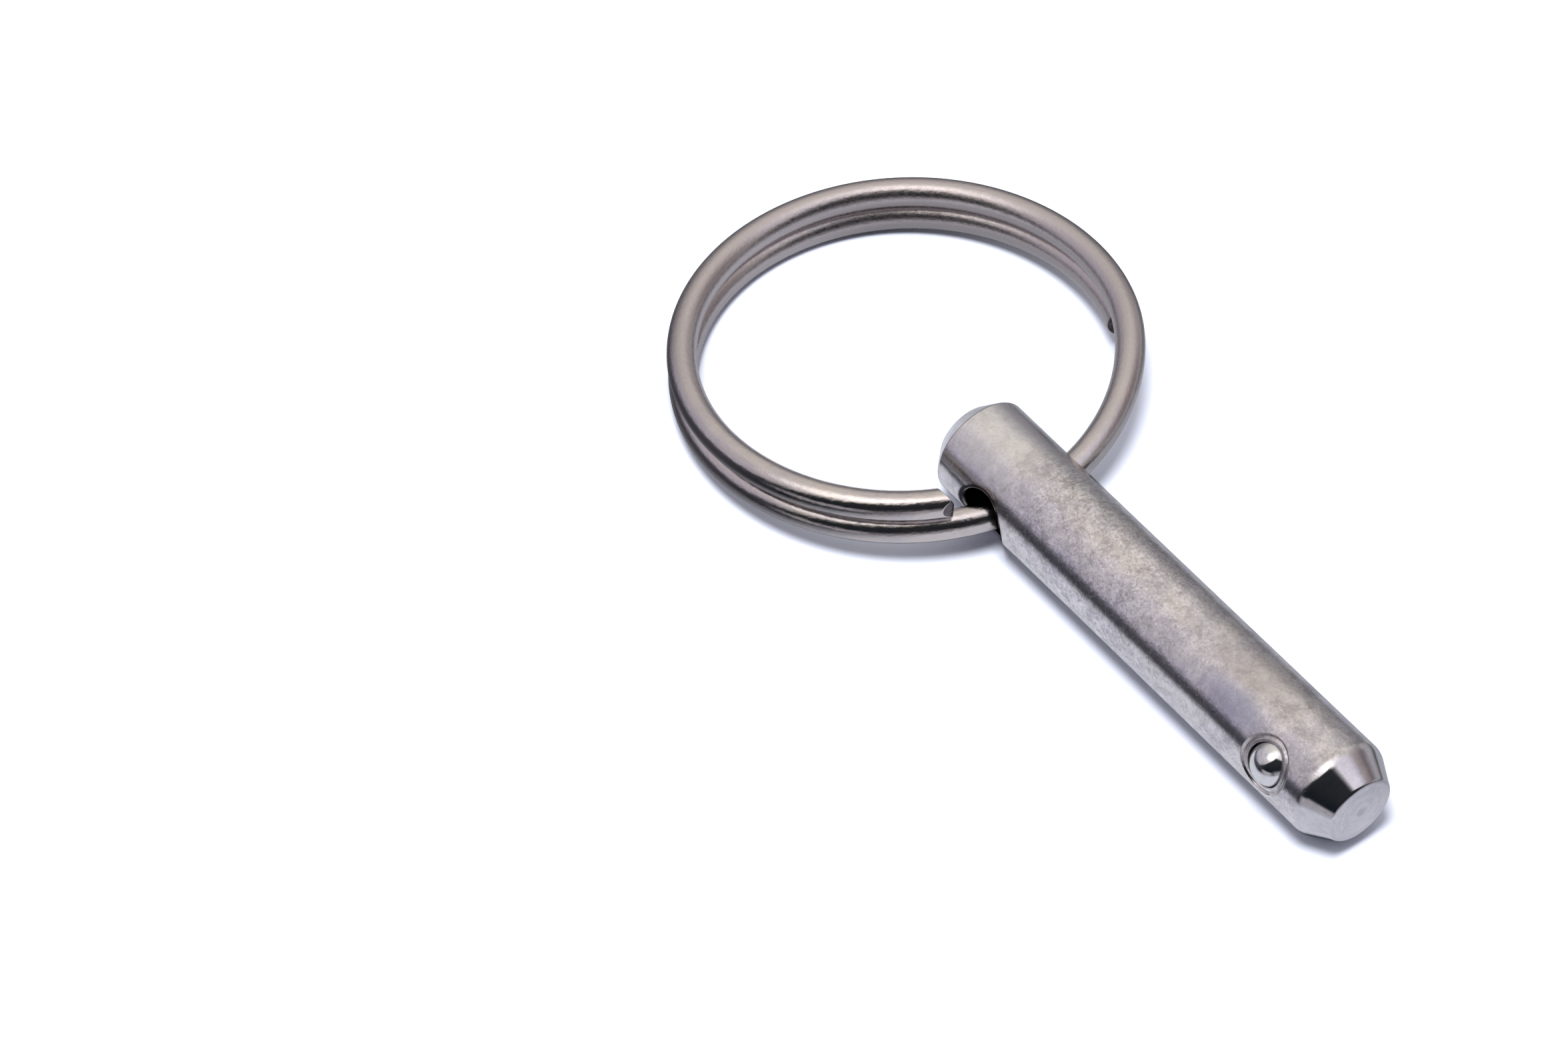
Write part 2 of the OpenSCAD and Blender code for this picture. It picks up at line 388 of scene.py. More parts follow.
def chain(pts, close=False):
    ids = [index[(round(p[0], 6), round(p[1], 6))] for p in pts]
    for a, b in zip(ids, ids[1:] + (ids[:1] if close else [])):
        edges2.append((a, b))


chain([(xs[0], s) for s in ss])
chain([(xs[-1], s) for s in ss])
chain([(x, ss[0]) for x in xs])
chain([(x, ss[-1]) for x in xs])
for lp in loops2:
    base = len(verts2)
    verts2 += [tuple(p) for p in lp]
    edges2 += [(base + i, base + (i + 1) % len(lp)) for i in range(len(lp))]
vo, _, fo, ov, _, _ = delaunay_2d_cdt([Vector(v) for v in verts2], edges2, [], 0, 1e-6)
tri = np.array([f for f in fo if len(f) == 3])
flat_xy = np.array([[v[0], v[1]] for v in vo])
mid = flat_xy[tri].mean(1)
cut = np.zeros(len(tri), bool)
for lp in loops2:
    cut |= inside(lp, mid)
tri = tri[~cut]
loop3 = [p for lp in loops3 for p in lp]
first_loop = len(verts2) - len(loop3)
wall_ids = {}


def wall_point(i):
    if i not in wall_ids:
        src = ov[i][0] if ov[i] else -1
        if src >= first_loop:
            p = np.array(loop3[src - first_loop])
            n = unit([0, p[1], p[2]])
        else:
            x, s = flat_xy[i]
            t = (s / R - math.pi / 2) if s < around - 1e-9 else -math.pi / 2
            n = np.array([0, math.cos(t), math.sin(t)])
            p = np.array([x, 0, 0]) + R * n
        wall_ids[i] = shank.point(p, n)
    return wall_ids[i]


for t in tri:
    shank.face([wall_point(int(i)) for i in t])
shank.grid(far_p, far_n)
shank.grid(near_p, near_n)
shank.grid(wall_p, wall_n)
ids = shank.grid(recess_p, recess_n)
centre = shank.point(ball_c + BORE_END * ball_d, ball_d)
for c in range(MOUTH):
    shank.face([centre, ids[-1][c], ids[-1][(c + 1) % MOUTH]])
shank_ob = shank.build("shank_turned")
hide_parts("pin_body")
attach(shank_ob, "pin")


# ---------------------------------------------------------------- ball and spring

bm = bmesh.new()
bmesh.ops.create_uvsphere(bm, u_segments=96, v_segments=64, radius=BALL_R * MM)
me = bpy.data.meshes.new("ball_polished")
bm.to_mesh(me)
bm.free()
me.shade_smooth()
spot = (ball_c + BALL_H * ball_d - np.array([GRIP, 0, 0])) * MM
turn = Vector((0, 0, 1)).rotation_difference(Vector(ball_d)).to_matrix().to_4x4()
me.transform(Matrix.Translation(Vector(spot)) @ turn)
ball_ob = bpy.data.objects.new("ball_polished", me)
bpy.context.scene.collection.objects.link(ball_ob)
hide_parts("detent_ball")
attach(ball_ob, "detent")


def tube(name, along, radius, ref, sides, stations, cut0=None, cut1=None, ease=0.05, ends=False):
    """A round wire of the given radius on the curve along(s), in mm in the head frame, with rounded end edges.

    cut0 and cut1 are lists of (outward normal, point) planes that trim the two ends; None is a square cut.
    The uv map holds arc length and girth in mm. With ends set, the end faces take the second material.
    """
    s0, s1 = stations[0], stations[-1]
    half = (stations[1] - stations[0]) * 0.5
    ang = 2 * math.pi * np.arange(sides) / sides
    unit_len = np.linalg.norm(along(s0 + half) - along(s0)) / half

    def frame_at(s):
        t = unit(along(s + half) - along(s - half))
        sa = unit(np.cross(t, ref))
        return along(s), t, sa, np.cross(t, sa)

    def on_wall(s, k, rad=radius):
        p, t, sa, sb = frame_at(s)
        m = math.cos(ang[k]) * sa + math.sin(ang[k]) * sb
        return p + rad * m, m, t

    def end_at(k, rad, planes, s_end, way):
        """Where the line at angle k and radius rad leaves the trimmed end, and the end's normal there."""
        soft = 0.03 / unit_len
        out = []
        for n, c in planes:
            s = s_end
            for _ in range(5):
                p, _m, t = on_wall(s, k, rad)
                s -= ((p - c) @ n) / (t @ n) / unit_len
                s = min(max(s, s_end - 3 / unit_len), s_end + 3 / unit_len)
            out.append(s * way)
        low = min(out)
        w = np.array([math.exp(-(v - low) / soft) for v in out])
        return way * (low - soft * math.log(w.sum())), unit(sum(wi * n for wi, (n, _c) in zip(w / w.sum(), planes)))

    def cap(planes, s_end, way):
        """Rows from the wall's edge round the rim and in to the middle of the end."""
        if planes is None:
            planes = [(frame_at(s_end)[1] * way, along(s_end))]
        rp, rn, ru, edge = [], [], [], None
        turns = [(radius - ease * (1 - math.cos(h)), ease * (1 - math.sin(h)), h) for h in np.linspace(0, math.pi / 2, 5)]
        turns += [((radius - ease) * f, 0.0, math.pi / 2) for f in (0.93, 0.86, 0.78, 0.7, 0.61, 0.52, 0.43, 0.34, 0.25, 0.16, 0.07)]
        for rad, low, h in turns:
            p_row, n_row, u_row, e_row = [], [], [], []
            for k in range(sides):
                s, n = end_at(k, rad, planes, s_end, way)
                s -= way * low / unit_len
                p, m, _t = on_wall(s, k, rad)
                e_row.append(s)
                p_row.append(p)
                n_row.append(unit(math.cos(h) * m + math.sin(h) * n))
                u_row.append((s * unit_len, ang[k] * radius))
            if edge is None:
                edge = e_row
            rp.append(p_row)
            rn.append(n_row)
            ru.append(u_row)
        mid = sum(rp[-1]) / sides
        return rp, rn, ru, edge, mid, unit(sum(rn[-1]))

    hp, hn, hu, starts, hm, hv = cap(cut0, s0, -1)
    tp, tn, tu, stops, tm, tv = cap(cut1, s1, 1)
    reach = 1.9 * radius / unit_len
    rows_p, rows_n, rows_u = [], [], []
    for s in stations:
        rp, rn, ru = [], [], []
        for k in range(sides):
            q = s
            if s < s0 + reach:
                f = (s - s0) / reach
                q = starts[k] * (1 - f) + (s0 + reach) * f
            if s > s1 - reach:
                f = (s1 - s) / reach
                q = stops[k] * (1 - f) + (s1 - reach) * f
            p, m, _t = on_wall(q, k)
            rp.append(p)
            rn.append(m)
            ru.append((q * unit_len, ang[k] * radius))
        rows_p.append(rp)
        rows_n.append(rn)
        rows_u.append(ru)
    P = hp[:0:-1] + rows_p + tp[1:]
    N = hn[:0:-1] + rows_n + tn[1:]
    U = hu[:0:-1] + rows_u + tu[1:]
    me = bpy.data.meshes.new(name)
    n_rows = len(P)
    co = np.array([p for row in P for p in row] + [hm, tm])
    no = np.array([n for row in N for n in row] + [hv, tv])
    uvs = [u for row in U for u in row] + [U[0][0], U[-1][0]]
    faces = []
    for i in range(n_rows - 1):
        for k in range(sides):
            m = (k + 1) % sides
            faces.append((i * sides + k, i * sides + m, (i + 1) * sides + m, (i + 1) * sides + k))
    for k in range(sides):
        m = (k + 1) % sides
        faces.append((n_rows * sides, m, k))
        faces.append((n_rows * sides + 1, (n_rows - 1) * sides + k, (n_rows - 1) * sides + m))
    mid_face = faces[(n_rows // 2) * sides]
    q = co[list(mid_face)]
    if np.cross(q[1] - q[0], q[2] - q[0]) @ no[mid_face[0]] < 0:
        faces = [fc[::-1] for fc in faces]
    co[:, 0] -= GRIP
    me.from_pydata((co * MM).tolist(), [], faces)
    layer = me.uv_layers.new(name="wire")
    girth = 2 * math.pi * radius
    for poly in me.polygons:
        vs = [me.loops[li].vertex_index for li in poly.loop_indices]
        wrap = any(uvs[v][1] > girth * 0.75 for v in vs) and any(uvs[v][1] < girth * 0.25 for v in vs)
        for li, v in zip(poly.loop_indices, vs):
            u, g = uvs[v]
            layer.data[li].uv = (u, g + girth if wrap and g < girth * 0.25 else g)
    me.update()
    me.shade_smooth()
    if ends:
        flats = set(range(12)) | set(range(n_rows - 12, n_rows - 1))
        for i, poly in enumerate(me.polygons):
            poly.material_index = 1 if i // sides in flats or i >= (n_rows - 1) * sides else 0
    me.normals_split_custom_set_from_vertices([tuple(unit(n)) for n in no])
    ob = bpy.data.objects.new(name, me)
    bpy.context.scene.collection.objects.link(ob)
    return ob


SP_R, SP_WIRE, SP_TURNS = 1.05, 0.15, 5.5
sp0 = BORE_END + SP_WIRE
sp1 = BALL_H - math.sqrt((BALL_R + SP_WIRE) ** 2 - SP_R ** 2) - 0.04


def spring_rise(u):
    e, low, tall = 0.8, 0.24, sp1 - sp0
    if u < e:
        return low * u / e
    if u > SP_TURNS - e:
        return tall - low * (SP_TURNS - u) / e
    return low + (tall - 2 * low) * (u - e) / (SP_TURNS - 2 * e)




def spring_point(u):
    a = 2 * math.pi * u
    v = min(max(u, 0.0), SP_TURNS)
    return ball_c + SP_R * (math.cos(a) * hole_e1 + math.sin(a) * ball_e2) + (sp0 + spring_rise(v)) * ball_d


spring_ob = tube("detent_coil", spring_point, SP_WIRE, ball_d, 16, np.linspace(0, SP_TURNS, 221), ease=0.02)
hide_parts("detent_spring")
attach(spring_ob, "pin")
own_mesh(spring_ob)


# ---------------------------------------------------------------- split ring

tilt = math.radians(RING_TILT)
RING_Z = FLOOR_Z + WIRE_R + HALF_PITCH * math.cos(tilt) + RING_R * math.sin(tilt)
SPAN = 360 + OVERLAP


def ring_point(a):
    lev = HALF_PITCH * (1 - 2 * float(smooth((a - DROP0) / (DROP1 - DROP0))))
    h = math.radians(RING_HEAD - a)
    x, y = RING_R * math.cos(h), RING_R * math.sin(h)
    return np.array([RING_X + x * math.cos(tilt) - lev * math.sin(tilt), RING_Y + y,
                     RING_Z + x * math.sin(tilt) + lev * math.cos(tilt)])


ring_axis = np.array([-math.sin(tilt), 0.0, math.cos(tilt)])
# The upper end was nipped off: one slanting cut across the top, one blunt, and a hollow-looking flat below in front.
nip_o = ring_point(1.28)
nip_u = unit(ring_point(1.08) - ring_point(1.48))
nip_v = np.array([-0.6024, 0.4568, 0.6546])
nip_v = unit(nip_v - (nip_v @ nip_u) * nip_u)
nip_w = np.cross(nip_u, nip_v)


def nip(u, v, w, at):
    return unit(u * nip_u + v * nip_v + w * nip_w), nip_o + at * nip_u


end_a = [nip(1.0, 0.73, -0.06, 0.61), nip(1.0, -0.14, -0.10, 0.75), nip(1.0, -1.5, 1.7, 2.0)]
end_b = [(unit(unit(ring_point(SPAN + 0.2) - ring_point(SPAN - 0.2)) + 0.06 * ring_axis), ring_point(SPAN))]
ring_ob = tube("ring_wire", ring_point, WIRE_R, ring_axis, 48, np.linspace(0, SPAN, 501), end_a, end_b, ends=True)
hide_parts("split_ring")
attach(ring_ob, "ring")


# ---------------------------------------------------------------- materials

class Nodes:
    """Short helpers for building a node tree."""

    def __init__(self, tree):
        self.t = tree
        tree.nodes.clear()

    def add(self, kind, **props):
        n = self.t.nodes.new(kind)
        for k, v in props.items():
            setattr(n, k, v)
        return n

    def put(self, socket, value):
        if isinstance(value, bpy.types.NodeSocket):
            self.t.links.new(value, socket)
        else:
            socket.default_value = value

    def math(self, op, a, b=0.0, c=0.0, clamp=False):
        n = self.add("ShaderNodeMath", operation=op, use_clamp=clamp)
        for s, v in zip(n.inputs, (a, b, c)):
            self.put(s, v)
        return n.outputs[0]

    def vec(self, op, a, b=None, scale=None):
        n = self.add("ShaderNodeVectorMath", operation=op)
        self.put(n.inputs[0], a)
        if b is not None:
            self.put(n.inputs[1], b)
        if scale is not None:
            self.put(n.inputs["Scale"], scale)
        return n.outputs[0]

    def noise(self, vec, scale, detail=4.0, rough=0.55, distort=0.0, kind="FBM"):
        n = self.add("ShaderNodeTexNoise", noise_dimensions="3D", noise_type=kind)
        self.put(n.inputs["Vector"], vec)
        n.inputs["Scale"].default_value = scale
        n.inputs["Detail"].default_value = detail
        n.inputs["Roughness"].default_value = rough
        n.inputs["Distortion"].default_value = distort
        return n.outputs["Fac"]

    def ramp(self, fac, stops, ease="LINEAR"):
        n = self.add("ShaderNodeValToRGB")
        n.color_ramp.interpolation = ease
        while len(n.color_ramp.elements) < len(stops):
            n.color_ramp.elements.new(0.5)
        for e, (pos, col) in zip(n.color_ramp.elements, stops):
            e.position = pos
            e.color = (*col, 1) if hasattr(col, "__len__") else (col, col, col, 1)
        self.put(n.inputs["Fac"], fac)
        return n.outputs["Color"]

    def span(self, value, a, b, lo=0.0, hi=1.0, kind="SMOOTHSTEP"):
        n = self.add("ShaderNodeMapRange", interpolation_type=kind)
        self.put(n.inputs["Value"], value)
        for name, v in (("From Min", a), ("From Max", b), ("To Min", lo), ("To Max", hi)):
            self.put(n.inputs[name], v)
        return n.outputs["Result"]

    def mix(self, fac, a, b, kind="MIX"):
        n = self.add("ShaderNodeMix", data_type="RGBA", blend_type=kind)
        self.put(n.inputs[0], fac)
        self.put(n.inputs[6], a if isinstance(a, bpy.types.NodeSocket) else (*a, 1))
        self.put(n.inputs[7], b if isinstance(b, bpy.types.NodeSocket) else (*b, 1))
        return n.outputs[2]

    def bump(self, height, strength, distance, normal=None):
        n = self.add("ShaderNodeBump")
        self.put(n.inputs["Height"], height)
        n.inputs["Strength"].default_value = strength
        n.inputs["Distance"].default_value = distance
        if normal is not None:
            self.put(n.inputs["Normal"], normal)
        return n.outputs["Normal"]


def grey(nt, value, tint=(1.0, 1.0, 1.0)):
    n = nt.add("ShaderNodeCombineColor")
    for s, k in zip(n.inputs[:3], tint):
        nt.put(s, nt.math("MULTIPLY", value, k))
    return n.outputs[0]


def metal(name):
    mat = bpy.data.materials.new(name)
    mat.use_nodes = True
    nt = Nodes(mat.node_tree)
    out = nt.add("ShaderNodeOutputMaterial")
    bsdf = nt.add("ShaderNodeBsdfPrincipled")
    nt.t.links.new(bsdf.outputs[0], out.inputs[0])
    bsdf.inputs["Metallic"].default_value = 1.0
    tc = nt.add("ShaderNodeTexCoord")
    mm = nt.vec("SCALE", tc.outputs["Object"], scale=1000.0)
    return mat, nt, bsdf, mm


# Shank: tumbled, plated turned steel. x is the frame's x in mm.
mat, nt, bsdf, mm = metal("tumbled_steel")
sep = nt.add("ShaderNodeSeparateXYZ")
nt.put(sep.inputs[0], mm)
px, py, pz = sep.outputs
broad = nt.noise(mm, 0.42, 3.0, 0.55, 0.4)
cloudy = nt.noise(mm, 1.05, 4.0, 0.6, 0.6)
mottle = nt.noise(mm, 2.6, 6.0, 0.66, 0.5)
grain = nt.noise(mm, 13.0, 4.0, 0.7)
speck = nt.noise(mm, 5.6, 4.0, 0.72, 0.4)


def hairs(scale, seed, width, low, high):
    """Short curved marks: the thin level lines of a noise, kept in patches."""
    at = nt.vec("ADD", mm, seed)
    f = nt.math("ABSOLUTE", nt.math("SUBTRACT", nt.noise(at, scale, 1.5, 0.5, 1.2), 0.5))
    return nt.math("MULTIPLY", nt.span(f, 0.0, width, 1.0, 0.0), nt.span(nt.noise(at, scale * 1.3, 1.0), low, high))


curl = hairs(2.3, (0.0, 0.0, 0.0), 0.0050, 0.54, 0.62)
curl2 = hairs(4.6, (31.0, 7.0, 3.0), 0.010, 0.56, 0.64)
pits = nt.add("ShaderNodeTexVoronoi", feature="F1")
nt.put(pits.inputs["Vector"], mm)
pits.inputs["Scale"].default_value = 2.1
pit = nt.math("MULTIPLY", nt.span(pits.outputs["Distance"], 0.045, 0.12, 1.0, 0.0), nt.span(mottle, 0.50, 0.60))
lines = nt.noise(nt.vec("MULTIPLY", mm, (14.0, 0.35, 0.35)), 1.0, 3.0, 0.6)
nose = nt.span(px, 15.05, 15.45)                        # the long bevel is cut smoother
face = nt.span(px, 17.12, 17.17)
upper = nt.span(pz, 1.2, 2.0)
worn = nt.math("MULTIPLY", nt.span(px, -11.8, -8.4, 0.55, 1.12), nt.span(px, -2.0, 5.0, 1.0, 0.62))   # most marked a third of the way down
hx = nt.math("SUBTRACT", px, HOLE_X - GRIP)
hz = nt.math("ADD", pz, HOLE_DROP)
from_hole = nt.math("SQRT", nt.math("ADD", nt.math("MULTIPLY", hx, hx), nt.math("MULTIPLY", hz, hz)))


def blob(cx, wx, cy, wy, high):
    """A soft patch on the upper half of the shank."""
    dx = nt.math("DIVIDE", nt.math("SUBTRACT", px, cx), wx)
    dy = nt.math("DIVIDE", nt.math("SUBTRACT", py, cy), wy)
    d = nt.math("SQRT", nt.math("ADD", nt.math("MULTIPLY", dx, dx), nt.math("MULTIPLY", dy, dy)))
    return nt.math("MULTIPLY", nt.span(d, 1.0, 0.25), nt.span(pz, high, high + 0.8))


rub = blob(-8.2, 5.2, 1.0, 2.1, 0.6)                     # rubbed patch on the back
film = blob(8.4, 3.6, -2.0, 1.1, 0.4)                    # bluish film near the ball
streak = nt.noise(nt.vec("MULTIPLY", mm, (3.4, 1.3, 1.3)), 1.0, 6.0, 0.72, 0.9)
dull = blob(8.2, 4.4, -0.1, 1.9, 1.2)
smear = nt.math("MULTIPLY", rub, nt.span(streak, 0.47, 0.60))
tone = nt.mix(nt.span(broad, 0.38, 0.62), (0.604, 0.562, 0.598), (0.690, 0.636, 0.628))
tone = nt.mix(nt.math("MULTIPLY", nt.span(cloudy, 0.50, 0.66), 0.80), tone, (0.455, 0.422, 0.428))
tone = nt.mix(nt.math("MULTIPLY", nt.span(cloudy, 0.50, 0.34), 0.80), tone, (0.800, 0.752, 0.758))
tone = nt.mix(nt.math("MULTIPLY", nt.span(mottle, 0.53, 0.70), nt.math("MULTIPLY", worn, 0.66)), tone, (0.38, 0.350, 0.348))
tone = nt.mix(nt.math("MULTIPLY", nt.span(mottle, 0.47, 0.31), nt.math("MULTIPLY", worn, 0.56)), tone, (0.88, 0.838, 0.842))
tone = nt.mix(nt.math("MULTIPLY", nt.span(speck, 0.53, 0.65), nt.math("MULTIPLY", worn, 0.64)), tone, (0.33, 0.305, 0.305))
tone = nt.mix(nt.math("MULTIPLY", nt.span(speck, 0.48, 0.35), nt.math("MULTIPLY", worn, 0.60)), tone, (0.94, 0.900, 0.905))
clean = nt.math("MULTIPLY", nt.span(px, -10.6, -13.6), nt.span(pz, -0.6, 1.0))        # the head end is cleaner
tone = nt.mix(nt.math("MULTIPLY", clean, 0.50), tone, (0.80, 0.770, 0.765))
pale = nt.math("MULTIPLY", nt.span(px, -5.0, -9.0), nt.math("MULTIPLY", nt.span(py, 0.5, 1.3), nt.span(py, 1.8, 2.4, 1.0, 0.0)))
tone = nt.mix(nt.math("MULTIPLY", pale, 0.55), tone, (0.83, 0.810, 0.865))
tone = nt.mix(nt.math("MULTIPLY", smear, 0.54), tone, (0.30, 0.270, 0.262))
tone = nt.mix(nt.math("MULTIPLY", nt.math("MULTIPLY", rub, nt.span(streak, 0.50, 0.38)), 0.50), tone, (0.95, 0.895, 0.88))
tone = nt.mix(nt.math("MULTIPLY", dull, 0.50), tone, (0.46, 0.415, 0.405))
tone = nt.mix(nt.math("MULTIPLY", film, 0.66), tone, (0.430, 0.430, 0.530))
tone = nt.mix(nt.math("MULTIPLY", pit, 0.55), tone, (0.26, 0.235, 0.225))
tone = nt.mix(nt.math("MULTIPLY", nt.math("MAXIMUM", curl, nt.math("MULTIPLY", curl2, upper)), 0.42), tone, (0.90, 0.87, 0.86))
tone = nt.mix(nt.math("MULTIPLY", nose, 0.6), tone, (0.63, 0.605, 0.645))
radial = nt.math("SQRT", nt.math("ADD", nt.math("MULTIPLY", py, py), nt.math("MULTIPLY", pz, pz)))
turned = nt.add("ShaderNodeCombineXYZ")
nt.put(turned.inputs[0], nt.math("MULTIPLY", radial, 5.5))
turned = nt.noise(nt.vec("ADD", turned.outputs[0], nt.vec("SCALE", mm, scale=0.25)), 1.0, 3.0, 0.6)
tone = nt.mix(nt.math("MULTIPLY", face, nt.span(turned, 0.44, 0.66, 0.0, 0.36)), tone, (0.44, 0.415, 0.46))
# Painted shade in the lathe centre mark: the face darkens towards its middle.
tone = nt.mix(nt.math("MULTIPLY", face, nt.span(radial, 0.50, 0.16, 0.0, 0.42)), tone, (0.32, 0.300, 0.33))
# Painted shade in the cross hole: a dark band round the mouth flare, strongest on its upper +x side, and the bore
# inside it painted nearly black.
shade_side = nt.span(nt.math("ADD", hx, nt.math("MULTIPLY", hz, 0.8)), -0.9, 0.5, 0.42, 0.97)
tone = nt.mix(nt.math("MULTIPLY", nt.span(from_hole, 2.06, 2.02), shade_side), tone, (0.10, 0.090, 0.088))
tone = nt.mix(nt.span(from_hole, 1.80, 1.72, 0.0, 0.93), tone, (0.012, 0.011, 0.012))
nt.put(bsdf.inputs["Base Color"], tone)
rough = nt.add("ShaderNodeMix", data_type="FLOAT")
rough_in = nt.math("ADD", 0.115, nt.math("MULTIPLY", nt.span(mottle, 0.35, 0.7), 0.06))
rough_in = nt.math("ADD", rough_in, nt.math("MULTIPLY", nt.span(cloudy, 0.35, 0.65), 0.04))
rough_in = nt.math("ADD", rough_in, nt.math("MULTIPLY", smear, 0.16))
rough_in = nt.math("ADD", rough_in, nt.math("MULTIPLY", upper, 0.03))
nt.put(rough.inputs[0], nose)
nt.put(rough.inputs[2], rough_in)
nt.put(rough.inputs[3], nt.math("ADD", 0.085, nt.math("MULTIPLY", face, 0.22)))
to_ball = nt.vec("SUBTRACT", mm, tuple(float(c) for c in ball_c - np.array([GRIP, 0, 0])))
aside = nt.add("ShaderNodeVectorMath", operation="LENGTH")
nt.put(aside.inputs[0], nt.vec("CROSS_PRODUCT", to_ball, tuple(float(c) for c in ball_d)))
staked = nt.math("MULTIPLY", nt.span(aside.outputs["Value"], 1.84, 1.74), nt.span(pz, 0.0, 0.2))
nt.put(bsdf.inputs["Roughness"], nt.math("ADD", rough.outputs[0], nt.math("MULTIPLY", staked, 0.20)))
high = nt.math("MULTIPLY", grain, nt.math("ADD", 0.06, nt.math("MULTIPLY", upper, 0.16)))
high = nt.math("ADD", high, nt.math("MULTIPLY", speck, nt.math("ADD", 0.10, nt.math("MULTIPLY", upper, 0.55))))
high = nt.math("ADD", high, nt.math("MULTIPLY", mottle, nt.math("ADD", 0.26, nt.math("MULTIPLY", upper, 0.50))))
high = nt.math("ADD", high, nt.math("MULTIPLY", cloudy, 0.9))
high = nt.math("SUBTRACT", high, nt.math("MULTIPLY", curl, 0.30))
high = nt.math("SUBTRACT", high, nt.math("MULTIPLY", nt.math("MULTIPLY", curl2, upper), 0.16))
high = nt.math("SUBTRACT", high, nt.math("MULTIPLY", pit, 0.6))
high = nt.math("ADD", high, nt.math("MULTIPLY", nt.math("MULTIPLY", rub, streak), 2.6))
high = nt.math("ADD", high, nt.math("MULTIPLY", lines, 0.10))
high = nt.math("MULTIPLY", high, nt.span(nose, 0.0, 1.0, 1.0, 0.10, "LINEAR"))
nt.put(bsdf.inputs["Normal"], nt.bump(high, 1.0, 0.0000100))
shank_ob.data.materials.append(mat)

# Ball: polished bearing steel with a few faint marks.
mat, nt, bsdf, mm = metal("polished_ball_steel")
wear = nt.noise(mm, 3.5, 5.0, 0.6)
nt.put(bsdf.inputs["Base Color"], nt.mix(nt.span(wear, 0.4, 0.7), (0.76, 0.735, 0.745), (0.66, 0.64, 0.64)))
nt.put(bsdf.inputs["Roughness"], nt.math("ADD", 0.04, nt.math("MULTIPLY", nt.span(wear, 0.45, 0.7), 0.04)))
nt.put(bsdf.inputs["Normal"], nt.bump(nt.noise(mm, 14.0, 4.0, 0.6), 0.5, 0.0000008))
ball_ob.data.materials.append(mat)

# Ring: drawn wire with fine ripples, satin and warmer than the shank.
mat, nt, bsdf, mm = metal("drawn_ring_wire")
uv = nt.add("ShaderNodeUVMap", uv_map="wire").outputs[0]
ripple = nt.noise(nt.vec("MULTIPLY", uv, (3.0, 6.4, 1.0)), 1.0, 4.0, 0.62, 0.4)
drawn = nt.noise(nt.vec("MULTIPLY", uv, (0.35, 11.0, 1.0)), 1.0, 3.0, 0.6)
cloud = nt.noise(mm, 0.55, 4.0, 0.6, 0.3)
fine = nt.noise(mm, 7.5, 4.0, 0.70, 0.5)
tone = nt.mix(nt.span(cloud, 0.36, 0.66), (0.570, 0.522, 0.528), (0.640, 0.576, 0.552))
tone = nt.mix(nt.math("MULTIPLY", nt.span(ripple, 0.52, 0.72), 0.35), tone, (0.46, 0.42, 0.41))
sep = nt.add("ShaderNodeSeparateXYZ")
nt.put(sep.inputs[0], mm)
back_way = nt.math("SUBTRACT", nt.math("MULTIPLY", sep.outputs[0], 0.8), nt.math("MULTIPLY", sep.outputs[1], 0.6))
satin = nt.span(back_way, -10.0, -21.0)                 # the far turns are duller and warmer
tone = nt.mix(nt.math("MULTIPLY", satin, 0.85), tone, (0.562, 0.500, 0.500))
nt.put(bsdf.inputs["Base Color"], tone)
ring_rough = nt.math("ADD", 0.085, nt.math("MULTIPLY", nt.span(ripple, 0.35, 0.7), 0.09))
nt.put(bsdf.inputs["Roughness"], nt.math("ADD", ring_rough, nt.math("MULTIPLY", satin, 0.17)))
dent = nt.add("ShaderNodeTexVoronoi", feature="SMOOTH_F1")
nt.put(dent.inputs["Vector"], nt.vec("MULTIPLY", uv, (2.3, 4.6, 1.0)))
dent.inputs["Scale"].default_value = 1.0
dent.inputs["Smoothness"].default_value = 0.5
high = nt.math("ADD", nt.math("MULTIPLY", ripple, 0.8), nt.math("MULTIPLY", drawn, 0.35))
high = nt.math("ADD", high, nt.math("MULTIPLY", dent.outputs["Distance"], 0.55))
high = nt.math("ADD", high, nt.math("MULTIPLY", fine, 0.55))
nt.put(bsdf.inputs["Normal"], nt.bump(high, 1.0, 0.0000105))
ring_ob.data.materials.append(mat)

# Ring ends: sheared and dull.
mat, nt, bsdf, mm = metal("sheared_wire_end")
tear = nt.noise(nt.vec("MULTIPLY", mm, (3.0, 3.0, 9.0)), 1.0, 5.0, 0.7, 0.5)
nt.put(bsdf.inputs["Base Color"], nt.mix(nt.span(tear, 0.38, 0.66), (0.150, 0.130, 0.138), (0.300, 0.262, 0.262)))
nt.put(bsdf.inputs["Roughness"], nt.span(tear, 0.3, 0.7, 0.30, 0.44))
nt.put(bsdf.inputs["Normal"], nt.bump(tear, 1.0, 0.000014))
ring_ob.data.materials.append(mat)

# Spring: hidden behind the ball.
mat, nt, bsdf, mm = metal("spring_wire_steel")
uv = nt.add("ShaderNodeUVMap", uv_map="wire").outputs[0]
drawn = nt.noise(nt.vec("MULTIPLY", uv, (0.8, 22.0, 1.0)), 1.0, 3.0, 0.6)
nt.put(bsdf.inputs["Base Color"], nt.mix(drawn, (0.50, 0.48, 0.46), (0.62, 0.60, 0.58)))
nt.put(bsdf.inputs["Roughness"], nt.math("ADD", 0.24, nt.math("MULTIPLY", drawn, 0.12)))
nt.put(bsdf.inputs["Normal"], nt.bump(drawn, 0.8, 0.000003))
spring_ob.data.materials.append(mat)


# ---------------------------------------------------------------- stage

def plane(name, half, z):
    me = bpy.data.meshes.new(name)
    me.from_pydata([(-half, -half, z), (half, -half, z), (half, half, z), (-half, half, z)], [], [(0, 1, 2, 3)])
    ob = bpy.data.objects.new(name, me)
    bpy.context.scene.collection.objects.link(ob)
    ob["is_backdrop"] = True
    return ob


